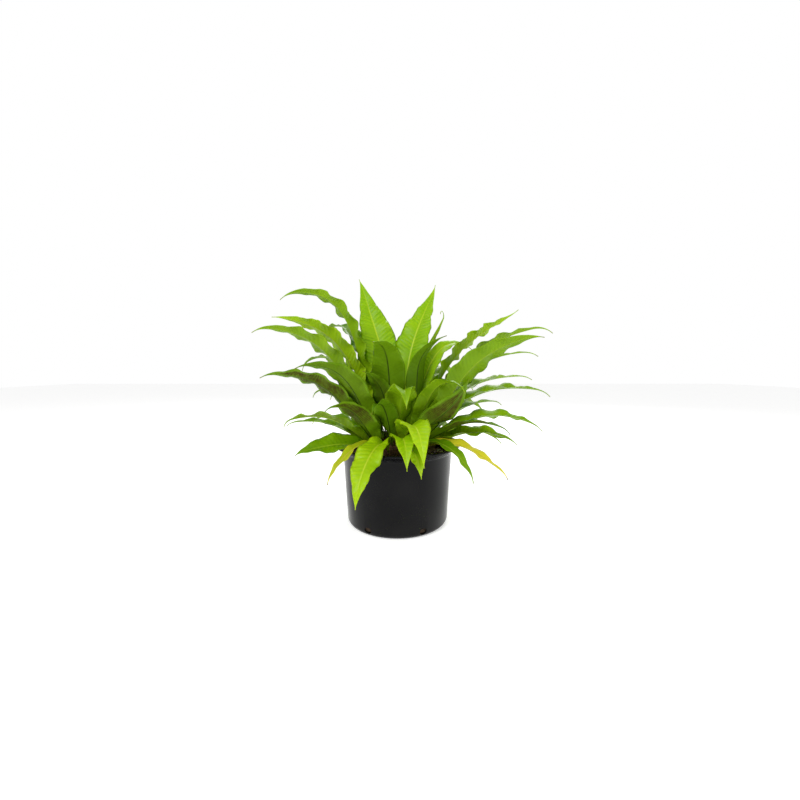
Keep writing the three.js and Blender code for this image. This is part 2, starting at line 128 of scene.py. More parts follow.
# %% Rows
FRONDS = {
    "frond_01": (3, 128, -14, 152, 514, 84, 62, 8, 37, -30, -6, 10, 5, "young"),
    "frond_02": (4, 48, 8, 131, 496, 85, 54, -14, 35, 20, 4, 10, 4, "young"),
    "frond_03": (3, 70, 14, 180, 450, 76, 56, 10, 18, 10, 0, 16, 3, "leaf"),
    "frond_04": (3, 54, 5, 172, 438, 84, 52, -220, 8, 20, 0, 20, 1, "young"),
    "frond_05": (4, 149, -2, 136, 426, 82, 62, -330, 7, 0, -10, 20, 1, "young"),
    "frond_06": (4, 172, 0, 246, 452, 62, 2, 46, 26, 36, 0, 14, 5, "leaf"),
    "frond_07": (3, 174, 0, 264, 417, 66, 14, 14, 28, 44, -6, 12, 5, "young"),
    "frond_08": (2, 184, 0, 284, 380, 60, 8, 44, 28, 34, 0, 14, 5, "leaf"),
    "frond_09": (3, 18, -4, 282, 440, 64, 28, -10, 27, -40, 0, 14, 5, "young"),
    "frond_10": (3, 3, -7, 318, 382, 58, 14, 56, 23, -20, 0, 18, 4, "leaf"),
    "frond_11": (2, -12, 0, 278, 368, 50, 18, 30, 33, -44, 0, 10, 3, "leaf"),
    "frond_12": (4, -104, -24, 160, 353, 85, 4, 10, 32, 14, 0, 10, 2, "old"),
    "frond_13": (4, -38, 24, 114, 370, 63, 32, 20, 25, -12, 0, 14, 1, "old"),
    "frond_14": (2, 30, 4, 200, 348, 80, -14, 30, 21, 30, 0, 12, 2, "young"),
    "frond_15": (3, -84, -2, 152, 245, 82, -50, 30, 31, 0, 0, 22, 4, "leaf"),
    "frond_16": (2, -51, 6, 178, 270, 61, -14, 60, 21, -10, 0, 20, 3, "leaf"),
    "frond_17": (2, 86, 0, 254, 300, 68, -30, 20, 25, 0, 0, 18, 3, "leaf"),
    "frond_18": (3, 136, 0, 270, 382, 66, -14, 50, 26, 0, 0, 16, 4, "leaf"),
    "frond_19": (2, 213, 2, 207, 310, 54, 2, 34, 28, 30, -6, 12, 3, "old"),
    "frond_20": (1, 195, 0, 262, 293, 52, 4, 36, 28, 32, -6, 14, 4, "old"),
    "frond_21": (1, -2, 0, 306, 254, 50, -6, 44, 24, 8, 0, 18, 4, "leaf"),
    "frond_22": (1, 18, 4, 324, 284, 50, 2, 34, 20, 0, 0, 18, 4, "leaf"),
    "frond_23": (1, -44, -4, 170, 292, 56, 56, -6, 26, -40, 0, 18, 2, "old"),
    "frond_24": (2, -79, 0, 214, 164, 44, -60, 14, 27, 0, 0, 22, 3, "young"),
    "frond_25": (1, 98, 0, 278, 240, 56, -24, 30, 29, 0, 0, 16, 4, "leaf"),
    "frond_26": (2, 114, 0, 280, 280, 64, -24, 30, 29, 0, 0, 16, 4, "leaf"),
    "frond_27": (2, 150, 2, 262, 304, 58, -20, 60, 25, 0, 0, 16, 4, "leaf"),
    "frond_28": (2, 58, 0, 282, 280, 64, -24, 30, 29, 0, 0, 16, 4, "leaf"),
    "frond_29": (1, 46, 0, 282, 250, 54, -20, 30, 28, 0, 0, 16, 4, "leaf"),
    "frond_30": (0, 193, 0, 222, 199, 46, -12, 70, 24, 14, 0, 16, 4, "leaf"),
    "frond_31": (1, 222, 0, 168, 236, 42, 0, 50, 29, 26, 0, 14, 4, "old"),
    "frond_32": (1, -85, -2, 186, 152, 30, -56, 14, 22, 0, 0, 22, 3, "young"),
    "frond_33": (0, -6, 2, 287, 187, 34, -20, 34, 26, 12, 0, 16, 4, "leaf"),
    "frond_34": (1, -26, 0, 224, 193, 29, -14, 50, 23, -6, 0, 14, 3, "old"),
    "frond_35": (0, 18, 2, 245, 228, 38, 0, 50, 20, 0, 0, 18, 3, "leaf"),
    "frond_36": (0, 38, 0, 272, 200, 42, -24, 30, 25, 0, 0, 18, 4, "leaf"),
    "frond_37": (0, 62, 0, 264, 190, 42, -24, 30, 25, 0, 0, 18, 4, "leaf"),
    "frond_38": (1, 75, 0, 268, 214, 50, -26, 30, 26, 0, 0, 18, 4, "leaf"),
    "frond_39": (0, 104, 0, 262, 186, 42, -24, 30, 25, 0, 0, 18, 4, "leaf"),
    "frond_40": (1, 130, 0, 275, 228, 50, -24, 40, 26, 0, 0, 18, 4, "leaf"),
    "frond_41": (1, 160, 0, 200, 246, 50, -16, 60, 22, 0, 0, 18, 4, "leaf"),
    "frond_42": (0, 173, 0, 238, 188, 28, -6, 40, 17, -6, 0, 18, 3, "leaf"),
    "frond_43": (0, 211, 0, 210, 157, 20, -6, 36, 30, -26, 0, 12, 4, "leaf"),
    "frond_44": (0, 230, 0, 182, 115, 46, -46, 40, 13, 0, 0, 14, 3, "yellow"),
    "frond_45": (0, 251, 0, 186, 86, 67, -72, 14, 25, 0, -6, 10, 4, "young"),
    "frond_46": (0, -76, 0, 166, 132, 12, -52, 14, 18, 0, 0, 22, 3, "young"),
    "frond_47": (0, -49, 1, 194, 120, 42, -50, 36, 15, 0, 0, 16, 3, "leaf"),
    "frond_48": (0, -31, -3, 226, 117, 30, -30, 40, 18, 0, 0, 16, 3, "yellow"),
    "frond_49": (0, -16, -4, 234, 167, 24, -18, 34, 23, 14, 0, 14, 4, "leaf"),
    "frond_50": (0, 6, 0, 222, 150, 20, -30, 30, 21, 0, 0, 16, 4, "leaf"),
    "frond_51": (0, 50, 0, 216, 142, 25, -34, 30, 21, 0, 0, 16, 4, "leaf"),
    "frond_52": (0, 84, 0, 222, 132, 24, -34, 30, 22, 0, 0, 16, 4, "leaf"),
    "frond_53": (0, 122, 0, 216, 140, 24, -34, 30, 21, 0, 0, 16, 4, "leaf"),
    "frond_54": (0, 152, 0, 226, 180, 26, -20, 50, 20, 0, 0, 16, 4, "leaf"),
    "frond_55": (2, -106, 0, 150, 236, 68, -20, 30, 21, 20, 0, 16, 4, "old"),
    "frond_56": (3, -126, 0, 104, 306, 81, 30, 20, 20, 36, 0, 14, 3, "old"),
    "frond_57": (2, 10, 5, 308, 336, 52, 6, 40, 14, -10, 0, 18, 3, "leaf"),
}
# Radius of each ring of roots, the outermost first
RINGS = np.array([51, 43.5, 36, 28, 19.5, 7.5])
# Level of the potting mix, and the crown's radius and its rise above that level
SOIL_Z, CROWN_R, CROWN_RISE = 135.0, 58.0, 31.0
# Strength of the spore lines on the fronds that show them
SORI = {"frond_20": 1.0, "frond_31": 1.0, "frond_23": 1.0, "frond_34": 0.9, "frond_49": 0.7,
        "frond_43": 0.3, "frond_19": 0.3, "frond_30": 0.4, "frond_56": 0.4}
# Tone of the fronds for which it isn't drawn: the others get one from 0, deep, to 1, light
TONE = {"frond_44": -0.5, "frond_48": 0.9}
print("rows:", len(FRONDS))

# %% [markdown]
# Small helpers
#
# The fronds are worked out from a few plain formulas: an S curve that eases one value into another,
# a draw that gives the same number each time, a direction from two angles, a turn about an axis and
# the height of the crown. They take whole arrays, so no loop runs over points.


# %% Small helpers
def smooth(x, low, high):
    """An S curve from 0 at low to 1 at high: three times the square less twice the cube."""
    t = np.clip((x - low) / (high - low), 0, 1)
    return t * t * (3 - 2 * t)


def mix(a, b, t):
    """The value a share t of the way from a to b."""
    return a + (b - a) * t


def draw(a, b):
    """A repeatable draw between 0 and 1: the fraction of a large sine."""
    x = np.sin(a * 12.9898 + b * 78.233) * 43758.5453
    return x - np.floor(x)


def heading(azimuth, rise):
    """The unit vector at an azimuth and a rise, both in degrees."""
    a, r = np.radians(azimuth), np.radians(rise)
    return np.array([np.cos(a) * np.cos(r), np.sin(a) * np.cos(r), np.sin(r)])


def turned(vectors, axes, angle):
    """Vectors turned about unit axes by an angle, by Rodrigues' formula."""
    c, s = np.cos(angle)[..., None], np.sin(angle)[..., None]
    along = (vectors * axes).sum(-1, keepdims=True)
    return vectors * c + np.cross(axes, vectors) * s + axes * along * (1 - c)


def dome_height(radius):
    """Height of the crown's surface at a radius: half an ellipse above the level of the mix."""
    return SOIL_Z + CROWN_RISE * np.sqrt(np.maximum(0, 1 - (radius / CROWN_R) ** 2))


print("helpers ready, S curve at the middle:", smooth(0.5, 0, 1))

# %% [markdown]
# The rib of a frond
#
# A frond leaves the crown steeply, leans out and droops. Its rib is a cubic Bezier curve from the
# root to the neck, with a short tail that bends on evenly, as a tip hangs or a young tip curls up.
# The root starts a few millimetres inside the crown, so that no frond hangs in the air.

# %% Rib
BEZIER_POINTS, TAIL_STEPS = 151, 40
ROOT_DEPTH = 6.5
# The direction at a point is taken between two others, this share of the length to each side
NEAR = 0.008


def rib_of(row):
    """Points along a rib with the length walked to each: a Bezier from root to neck and a tail that
    turns step by step about the sideways axis, moved so that it ends at the tip."""
    ring, az, turn, reach, height, start, end, tail = row[:8]
    sway = row[10]
    r = RINGS[ring]
    along = heading(az + turn, start)
    root = heading(az + turn, 0) * r + [0, 0, dome_height(r)] - along * ROOT_DEPTH
    side = heading(az + 90, 0)
    tip = heading(az, 0) * reach + [0, 0, height] + side * sway
    chord = np.linalg.norm(tip - root)
    last = heading(az + np.degrees(sway / reach), end)
    tail_length = (0.11 if tail < -90 else 0.13) * chord
    turns = np.radians(tail) / TAIL_STEPS * (0.5 + (np.arange(TAIL_STEPS) + 0.5) / TAIL_STEPS)
    lasts, sides = np.tile(last, (TAIL_STEPS, 1)), np.tile(side, (TAIL_STEPS, 1))
    directions = turned(lasts, sides, np.cumsum(turns))
    steps = np.cumsum(directions * tail_length / TAIL_STEPS, axis=0)
    neck = tip - steps[-1]
    t = np.linspace(0, 1, BEZIER_POINTS)[:, None]
    a, b = root + along * 0.46 * chord, neck - last * 0.36 * chord
    curve = (1 - t) ** 3 * root + 3 * (1 - t) ** 2 * t * a + 3 * (1 - t) * t * t * b + t**3 * neck
    points = np.vstack([curve, neck + steps])
    walked = np.concatenate([[0], np.cumsum(np.linalg.norm(np.diff(points, axis=0), axis=1))])
    return points, walked


def frames_along(points, walked, az, roll, u):
    """At each share u of the rib's length: its point, the sideways direction, and the direction the
    upper face looks in. Both are turned about the rib by the roll, which grows along the frond."""

    def at(s):
        s = np.clip(s, 0, 1) * walked[-1]
        return np.stack([np.interp(s, walked, points[:, k]) for k in range(3)], axis=1)

    along = at(u + NEAR) - at(u - NEAR)
    along /= np.linalg.norm(along, axis=1, keepdims=True)
    side = heading(az + 90, 0) - along * (along @ heading(az + 90, 0))[:, None]
    side /= np.linalg.norm(side, axis=1, keepdims=True)
    up = np.cross(along, side)
    angle = np.radians(roll) * smooth(u, 0.1, 0.6)
    return at(u), turned(side, along, angle), turned(up, along, angle)


print("longest rib (mm):", round(max(rib_of(row)[1][-1] for row in FRONDS.values())))

# %% [markdown]
# The blade
#
# A blade is folded at its rib, widest near its middle and waved along its margins, more strongly on
# one stretch than another. One grid makes it: the first parameter runs along the rib and the second
# goes round the section, over the upper face and back under the lower one. The two faces meet in a
# thin margin, and the rib stands out below, so the piece is a closed body like its solid. A waved
# margin looks narrower than a flat one, so most blades are a little wider than their solids. Those
# that stand close to others keep the width of the solid, and no two blades cross.

# %% Blade surface
STATIONS, ACROSS = 180, 17
# Size of the waves and of the frill on them, for each millimetre of a row's wave height
WAVE, FRILL = 0.85, 0.16
SPREAD = 1.06
CROWDED = {3, 4, 12, 13, 15, 16, 31, 33, 34, 35, 36, 43, 44, 55}
v_top = np.linspace(-1, 1, ACROSS)
v_top = np.sign(v_top) * np.abs(v_top) ** 1.15
V = np.concatenate([v_top, v_top[-2:0:-1]])
LOWER = np.concatenate([np.zeros(ACROSS), np.ones(ACROSS - 2)])
ROUND = len(V)
ring_x = np.concatenate([(v_top + 1) / 2, 1 + (1 - v_top[-2:0:-1]) / 2, [2.0]])


def blade_surface(index, row):
    """Points of a frond, stations by section. The half width is a power of the share walked times a
    power of the share left. Across the rib the section rises with the fold on each side. The margin
    is lifted by a cosine of the crest number, times a size that swells and fades along the blade
    and is drawn for each crest, and by a finer sine, the frill. Thickness, with a bell curve for
    the rib, is added above and below."""
    az, (tail, width, roll), (fold, wave, kind) = row[1], row[7:10], row[11:]
    points, walked = rib_of(row)
    length = walked[-1]
    u = np.linspace(0, 1, STATIONS)
    if tail < -90:
        # A coiled tip gets half of the stations
        few = STATIONS // 2
        u = np.concatenate([np.linspace(0, 0.82, few)[:-1], np.linspace(0.82, 1, few + 1)])
    rib, side, up = frames_along(points, walked, az, roll, u)
    rise, fall = 1.25, 1.4
    widest = rise / (rise + fall)
    outline = (u / widest) ** rise * ((1 - u) / (1 - widest)) ** fall
    leafy = smooth(u, 0.03, 0.15)
    uneven = 1 + 0.025 * np.sin(u * length / 19 + index)
    uneven += 0.02 * np.sin(u * length / 7.3 + 2 * index)
    spread = 1.0 if index in CROWDED else SPREAD
    half = np.maximum(spread * width * outline * leafy * uneven, mix(2.3, 0.7, u))
    angle = np.radians(leafy * mix(50, fold, smooth(u, 0.1, 0.55)))

    crests = max(4, round(2 * length * 0.81 / 44))
    crest = np.clip((u - 0.12) / 0.81 * crests, 0, crests)
    low = np.minimum(np.floor(crest), crests - 1)
    swell = smooth(u, 0.12, 0.32) * (1 - smooth(u, 0.75, 0.93))
    s = np.where(V < 0, -1.0, 1.0)
    a = np.abs(V)
    between = smooth(crest - low, 0, 1)
    size = np.stack([
        WAVE * wave * swell
        * mix(0.6, 1.4, mix(draw(index * 3 + k, low), draw(index * 3 + k, low + 1), between))
        for k in (-1, 1)
    ], axis=1)
    side_sign = np.where(draw(index, 7) < 0.5, 1.0, s)
    lift = -np.cos(np.pi * crest)[:, None] * size[:, (s > 0).astype(int)] * side_sign * a**1.5
    frill = np.sin(2 * np.pi * (u[:, None] * length / 15.5 + draw(index, 11) * 9 + 0.35 * s))
    lift += frill * (FRILL * wave * swell)[:, None] * a**3 * (1.5 if kind == "young" else 0.8)
    camber = 0.05 * half[:, None] * a * (1 - a) * 4

    c, n = np.cos(angle)[:, None, None], np.sin(angle)[:, None, None]
    outward = s[None, :, None] * c * side[:, None] + n * up[:, None]
    normal = c * up[:, None] - s[None, :, None] * n * side[:, None]
    reach = half[:, None] * a
    surface = rib[:, None] + outward * reach[..., None] + normal * (lift + camber)[..., None]

    rib_shape = np.exp(-((reach / mix(2.2, 0.9, u)[:, None]) ** 2))
    upper = 0.26 + mix(1.0, 0.15, smooth(u, 0, 0.3))[:, None] * rib_shape
    under = 0.26 + mix(0.5, 1.0, mix(1, 0.35, u))[:, None] * rib_shape
    thick = np.where(LOWER > 0, -under, upper) * (1 - a**8)
    surface = surface + up[:, None] * thick[..., None]
    return surface * MM, u, half, length


def frond_mesh(name, index, row):
    """A closed mesh from the blade surface, with two UV maps: leaf holds the way round the section
    and the length from the root, and bands the distances from the rib and from the margin. Lengths
    in both are in centimetres. Three more values lie on the points: the share of the length, the
    strength of the spore lines and the tone."""
    surface, u, half, length = blade_surface(index, row)
    rows_n = len(u)
    j, i = np.meshgrid(np.arange(rows_n - 1), np.arange(ROUND), indexing="ij")
    nxt = (i + 1) % ROUND
    here, ahead = j * ROUND, (j + 1) * ROUND
    quads = np.stack([here + i, ahead + i, ahead + nxt, here + nxt], axis=-1).reshape(-1, 4)
    caps = [list(range(ROUND)), list(range(rows_n * ROUND - 1, (rows_n - 1) * ROUND - 1, -1))]
    mesh = bpy.data.meshes.new(name)
    mesh.from_pydata(surface.reshape(-1, 3), [], quads.tolist() + caps)

    station = np.stack([j, j + 1, j + 1, j], axis=-1).reshape(-1)
    step = np.stack([i, i, i + 1, i + 1], axis=-1).reshape(-1)
    leaf = np.stack([ring_x[step], u[station] * length / 10], axis=1)
    a = np.abs(V)[step % ROUND]
    bands = np.stack([half[station] * a / 10, half[station] * (1 - a) / 10], axis=1)
    rest = np.zeros((2 * ROUND, 2))
    for label, values in (("leaf", leaf), ("bands", bands)):
        layer = mesh.uv_layers.new(name=label)
        layer.uv.foreach_set("vector", np.vstack([values, rest]).astype(np.float32).ravel())
    for label, values in (("share", np.repeat(u, ROUND)),
                          ("spores", np.full(rows_n * ROUND, SORI.get(name, 0.0))),
                          ("tone", np.full(rows_n * ROUND, TONE.get(name, draw(index, 5))))):
        layer = mesh.attributes.new(label, "FLOAT", "POINT")
        layer.data.foreach_set("value", values.astype(np.float32))
    mesh.polygons.foreach_set("use_smooth", np.ones(len(mesh.polygons), bool))
    mesh.validate()
    return mesh


print("faces in one frond:", (STATIONS - 1) * ROUND + 2)

# %% [markdown]
# What a frond's skin shows
#
# A frond is a leathery leaf: yellow green while young, deeper with age. Fine veins run out from the
# rib at a slant, and the face between the veins is slightly quilted. The margin is thin, and the
# light that comes through it is painted in, as a lighter colour along the margin. Towards the crown
# each frond darkens to its foot: the stipe's own dark colour, with painted shade deep in the
# rosette.
# Old fronds, and a few grown ones, carry brown spore lines on the lower face. One node group works
# all of this out from the two UV maps, so each material only gives its own colours and strengths.


# %% Node helpers
class Sheet:
    """A node tree to write into: each call adds a node, links or sets its inputs and returns its
    output."""

    def __init__(self, tree):
        self.tree = tree

    def add(self, kind, *inputs, out=0, **settings):
        made = self.tree.nodes.new(kind)
        for key, value in settings.items():
            setattr(made, key, value)
        for socket, value in zip(made.inputs, inputs):
            if isinstance(value, bpy.types.NodeSocket):
                self.tree.links.new(value, socket)
            elif value is not None:
                socket.default_value = value
        return made.outputs[out]

    def math(self, operation, a, b=0.0, clamp=False):
        return self.add("ShaderNodeMath", a, b, operation=operation, use_clamp=clamp)

    def ramp(self, value, low, high, a=0.0, b=1.0):
        """A smooth step of the value from a at low to b at high."""
        made = self.tree.nodes.new("ShaderNodeMapRange")
        made.interpolation_type = "SMOOTHSTEP"
        self.tree.links.new(value, made.inputs["Value"])
        for label, number in (("From Min", low), ("From Max", high), ("To Min", a), ("To Max", b)):
            made.inputs[label].default_value = number
        return made.outputs["Result"]

    def blend(self, share, a, b):
        """Colour a mixed with colour b by a share."""
        made = self.tree.nodes.new("ShaderNodeMix")
        made.data_type = "RGBA"
        for socket, value in ((made.inputs[0], share), (made.inputs[6], a), (made.inputs[7], b)):
            if isinstance(value, bpy.types.NodeSocket):
                self.tree.links.new(value, socket)
            else:
                socket.default_value = value
        return made.outputs[2]

    def noise(self, vector, scale, detail=3.0):
        made = self.tree.nodes.new("ShaderNodeTexNoise")
        self.tree.links.new(vector, made.inputs["Vector"])
        made.inputs["Scale"].default_value = scale
        made.inputs["Detail"].default_value = detail
        return made.outputs["Fac"]


def new_group(name, takes, gives):
    """A shader node group with named inputs and outputs, a sheet to write its nodes on, the
    sockets that it is given, and those that it wants filled."""
    group = bpy.data.node_groups.new(name, "ShaderNodeTree")
    for direction, sockets in (("INPUT", takes), ("OUTPUT", gives)):
        for label, kind, value in sockets:
            socket = group.interface.new_socket(label, in_out=direction, socket_type=kind)
            if value is not None:
                socket.default_value = value
    given = group.nodes.new("NodeGroupInput").outputs
    wanted = group.nodes.new("NodeGroupOutput").inputs
    return group, Sheet(group), given, wanted


COLOUR, NUMBER = "NodeSocketColor", "NodeSocketFloat"
print("node helpers ready")

# %% Frond skin group
# Pitch of the veins, the quilting and the spore lines, in centimetres along the rib
VEIN_PITCH, QUILT_PITCH, SPORE_PITCH = 0.19, 0.85, 0.26
# How far the veins run on towards the tip for each centimetre from the rib
SLANT = 0.45
PALE_BELOW = (0.24, 0.38, 0.012, 1)
SPORE_BROWN = (0.045, 0.014, 0.004, 1)
DRY_BROWN = (0.16, 0.075, 0.02, 1)

frond_skin, sheet, given, wanted = new_group(
    "frond_skin",
    [("Light", COLOUR, None), ("Deep", COLOUR, None), ("Rib", COLOUR, None), ("Foot and shade", COLOUR, None),
     ("Quilt", NUMBER, 0.5), ("Dry tip", NUMBER, 0.3)],
    [("Colour", COLOUR, None), ("Roughness", NUMBER, None), ("Height", NUMBER, None)],
)
place = sheet.add("ShaderNodeTexCoord", out=3)
leaf = sheet.tree.nodes.new("ShaderNodeSeparateXYZ")
sheet.tree.links.new(sheet.add("ShaderNodeUVMap", uv_map="leaf"), leaf.inputs[0])
bands = sheet.tree.nodes.new("ShaderNodeSeparateXYZ")
sheet.tree.links.new(sheet.add("ShaderNodeUVMap", uv_map="bands"), bands.inputs[0])
round_way, along_cm = leaf.outputs[0], leaf.outputs[1]
rib_cm, margin_cm = bands.outputs[0], bands.outputs[1]
share = sheet.add("ShaderNodeAttribute", attribute_name="share", out=2)
spores = sheet.add("ShaderNodeAttribute", attribute_name="spores", out=2)
tone = sheet.add("ShaderNodeAttribute", attribute_name="tone", out=2)
below = sheet.math("GREATER_THAN", round_way, 1.0)

cloud = sheet.noise(place, 14.0, 3.0)
fine = sheet.noise(place, 90.0, 2.0)
slant = sheet.math("SUBTRACT", along_cm, sheet.math("MULTIPLY", rib_cm, SLANT))
wander = sheet.math("ADD", slant, sheet.math("MULTIPLY", cloud, 1.2))
vein = sheet.math("SINE", sheet.math("MULTIPLY", wander, 2 * np.pi / VEIN_PITCH))
quilt = sheet.math("SINE", sheet.math("MULTIPLY", wander, 2 * np.pi / QUILT_PITCH))
patches = sheet.ramp(sheet.noise(place, 32.0, 2.0), 0.36, 0.60, 0.15, 1.0)
quilt = sheet.math("MULTIPLY", sheet.math("MULTIPLY", quilt, patches), given["Quilt"])
shade = sheet.math("ADD", sheet.math("MULTIPLY", cloud, 0.9), sheet.math("MULTIPLY", tone, 0.45))
shade = sheet.math("ADD", shade, sheet.math("MULTIPLY", vein, 0.05))
shade = sheet.math("ADD", shade, sheet.math("MULTIPLY", quilt, 0.12))
shade = sheet.math("ADD", shade, sheet.math("MULTIPLY", fine, 0.12))
shade = sheet.math("SUBTRACT", shade, 0.30, clamp=True)
skin = sheet.blend(shade, given["Deep"], given["Light"])
# Painted light: the margin is lifted towards the light colour, for the light that comes through the
# thin blade
painted_margin_light = sheet.ramp(margin_cm, 0.22, 0.0)
skin = sheet.blend(sheet.math("MULTIPLY", painted_margin_light, 0.55), skin, given["Light"])
paler = sheet.blend(0.25, skin, PALE_BELOW)
skin = sheet.blend(sheet.math("MULTIPLY", below, 0.75), skin, paler)
rib_band = sheet.ramp(rib_cm, 0.20, 0.07)
rib_fade = sheet.ramp(share, 0.98, 0.55, 0.15, 0.85)
skin = sheet.blend(sheet.math("MULTIPLY", rib_band, rib_fade), skin, given["Rib"])
# Painted shade: each frond darkens towards its foot, the stipe's own dark colour together with
# painted shade deep in the rosette by the crown
foot_and_shade = sheet.ramp(share, 0.17, 0.02)
skin = sheet.blend(sheet.math("MULTIPLY", foot_and_shade, 0.85), skin, given["Foot and shade"])

line = sheet.math("SINE", sheet.math("MULTIPLY", wander, 2 * np.pi / SPORE_PITCH))
line = sheet.ramp(sheet.math("ADD", line, sheet.math("MULTIPLY", fine, 2.2)), 0.3, 0.7)
inner, outer = sheet.ramp(rib_cm, 0.10, 0.24), sheet.ramp(margin_cm, 0.35, 0.8)
reached = sheet.math("MULTIPLY", sheet.ramp(share, 0.35, 0.48), sheet.ramp(share, 0.97, 0.90))
sori = sheet.math("MULTIPLY", line, inner)
sori = sheet.math("MULTIPLY", sori, sheet.math("MULTIPLY", outer, reached))
sori = sheet.math("MULTIPLY", sheet.math("MULTIPLY", sori, below), spores)
skin = sheet.blend(sheet.math("MULTIPLY", sori, 0.9), skin, SPORE_BROWN)
dry = sheet.math("MULTIPLY", sheet.ramp(share, 0.955, 1.0), given["Dry tip"])
skin = sheet.blend(dry, skin, DRY_BROWN)
speck = sheet.math("MULTIPLY", sheet.ramp(sheet.noise(place, 150.0, 1.0), 0.74, 0.80), 0.3)
skin = sheet.blend(speck, skin, given["Deep"])
sheet.tree.links.new(skin, wanted["Colour"])

rough = sheet.ramp(fine, 0.3, 0.8, 0.30, 0.44)
rough = sheet.math("ADD", rough, sheet.math("MULTIPLY", below, 0.12))
rough = sheet.math("ADD", rough, sheet.math("MULTIPLY", sori, 0.3))
sheet.tree.links.new(rough, wanted["Roughness"])
height = sheet.math("ADD", sheet.math("MULTIPLY", vein, 0.06), sheet.math("MULTIPLY", sori, 0.8))
height = sheet.math("ADD", height, sheet.math("MULTIPLY", quilt, 0.9))
height = sheet.math("ADD", height, sheet.math("MULTIPLY", fine, 0.25))
fade_in = sheet.ramp(rib_cm, 0.05, 0.5)
sheet.tree.links.new(sheet.math("MULTIPLY", height, fade_in), wanted["Height"])
print("frond skin nodes:", len(frond_skin.nodes))

# %% [markdown]
# Four finishes for the fronds
#
# Young fronds are light and quilted, grown ones deeper and smoother, old ones dark with a dark rib,
# which is partly their own dark brown and partly painted shade in the crease of the fold, and two
# fronds have turned yellow. All four place the same skin group in their material and give it their
# own colours and strengths.


# %% Frond materials
def frond_material(name, light, deep, rib, foot_and_shade, quilt, dry_tip, glow):
    """A frond's finish: the skin group feeds colour, roughness and bump, and scattering below the
    surface stands in for the light that comes through a thin blade."""
    paint = bpy.data.materials.new(name)
    paint.use_nodes = True
    tree = paint.node_tree
    shader = tree.nodes["Principled BSDF"]
    marks = tree.nodes.new("ShaderNodeGroup")
    marks.node_tree = frond_skin
    for label, value in (("Light", light), ("Deep", deep), ("Rib", rib), ("Foot and shade", foot_and_shade)):
        marks.inputs[label].default_value = (*value, 1)
    marks.inputs["Quilt"].default_value = quilt
    marks.inputs["Dry tip"].default_value = dry_tip
    bump = tree.nodes.new("ShaderNodeBump")
    bump.inputs["Strength"].default_value = 0.55
    bump.inputs["Distance"].default_value = 0.0006
    tree.links.new(marks.outputs["Height"], bump.inputs["Height"])
    tree.links.new(bump.outputs["Normal"], shader.inputs["Normal"])
    tree.links.new(marks.outputs["Colour"], shader.inputs["Base Color"])
    tree.links.new(marks.outputs["Roughness"], shader.inputs["Roughness"])
    shader.inputs["Subsurface Weight"].default_value = glow
    shader.inputs["Subsurface Radius"].default_value = (0.6, 1.0, 0.15)
    shader.inputs["Specular IOR Level"].default_value = 0.13
    shader.inputs["Subsurface Scale"].default_value = 0.001
    return paint


FROND_PAINT = {
    "young": frond_material("frond_young_skin", (0.39, 0.57, 0.004), (0.17, 0.37, 0.001),
                            (0.46, 0.58, 0.03), (0.10, 0.13, 0.008), 1.0, 0.25, 0.12),
    "leaf": frond_material("frond_grown_skin", (0.28, 0.46, 0.001), (0.055, 0.17, 0.0003),
                           (0.28, 0.42, 0.02), (0.045, 0.05, 0.005), 0.45, 0.4, 0.08),
    # The old fronds' dark rib is partly their own dark brown and partly painted shade in the crease
    # of the fold
    "old": frond_material("frond_old_skin", (0.16, 0.32, 0.001), (0.028, 0.10, 0.0003),
                          (0.02, 0.035, 0.004), (0.015, 0.014, 0.003), 0.3, 0.5, 0.05),
    "yellow": frond_material("frond_yellow_skin", (0.84, 0.68, 0.04), (0.34, 0.42, 0.006),
                             (0.50, 0.42, 0.05), (0.25, 0.14, 0.02), 0.2, 0.9, 0.1),
}
print("frond materials:", list(FROND_PAINT))

# %% [markdown]
# The fronds
#
# Every row becomes one piece that takes the place of its solid. Its kind picks which of the four
# finishes it wears.

# %% Fronds
triangles = 0
for index, (name, row) in enumerate(FRONDS.items(), start=1):
    mesh = frond_mesh(name, index, row)
    piece = bpy.data.objects.new("fine_" + name, mesh)
    bpy.context.scene.collection.objects.link(piece)
    mesh.materials.append(FROND_PAINT[row[13]])
    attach(piece, "root")
    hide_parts(name)
    triangles += sum(len(face.vertices) - 2 for face in mesh.polygons)
print("triangles in the fronds:", triangles)

# %% [markdown]
# Black plastic, peat and fibre
#
# Three dull, dark finishes. The pot is moulded plastic with a soft sheen, dusty towards its foot.
# The mix is peat with bark. The crown is a mat of brown scales.


# %% Dark finishes
def plain_material(name, low, high, rough_low, rough_high, scale, bump_height, dust=0.0, gloss=0.3):
    """A finish from a broad cloud of noise, which mixes two colours and two roughnesses, and a fine
    grain, which gives the bump. Dust settles near the ground and in patches."""
    paint = bpy.data.materials.new(name)
    paint.use_nodes = True
    page = Sheet(paint.node_tree)
    shader = page.tree.nodes["Principled BSDF"]
    place = page.add("ShaderNodeTexCoord", out=3)
    broad, grain = page.noise(place, scale, 4.0), page.noise(place, scale * 14, 3.0)
    colour = page.blend(page.ramp(broad, 0.35, 0.65), (*low, 1), (*high, 1))
    if dust:
        height = page.tree.nodes.new("ShaderNodeSeparateXYZ")
        page.tree.links.new(place, height.inputs[0])
        low_down, patchy = page.ramp(height.outputs[2], 0.05, 0.0), page.ramp(broad, 0.5, 0.75)
        settled = page.math("MULTIPLY", page.math("ADD", low_down, patchy), dust)
        colour = page.blend(settled, colour, (0.20, 0.18, 0.15, 1))
    page.tree.links.new(colour, shader.inputs["Base Color"])
    rough = page.ramp(broad, 0.35, 0.65, rough_low, rough_high)
    page.tree.links.new(rough, shader.inputs["Roughness"])
    shader.inputs["Specular IOR Level"].default_value = gloss
    bump = page.tree.nodes.new("ShaderNodeBump")
    bump.inputs["Strength"].default_value = 0.6
    bump.inputs["Distance"].default_value = bump_height
    page.tree.links.new(grain, bump.inputs["Height"])
    page.tree.links.new(bump.outputs["Normal"], shader.inputs["Normal"])
    return paint


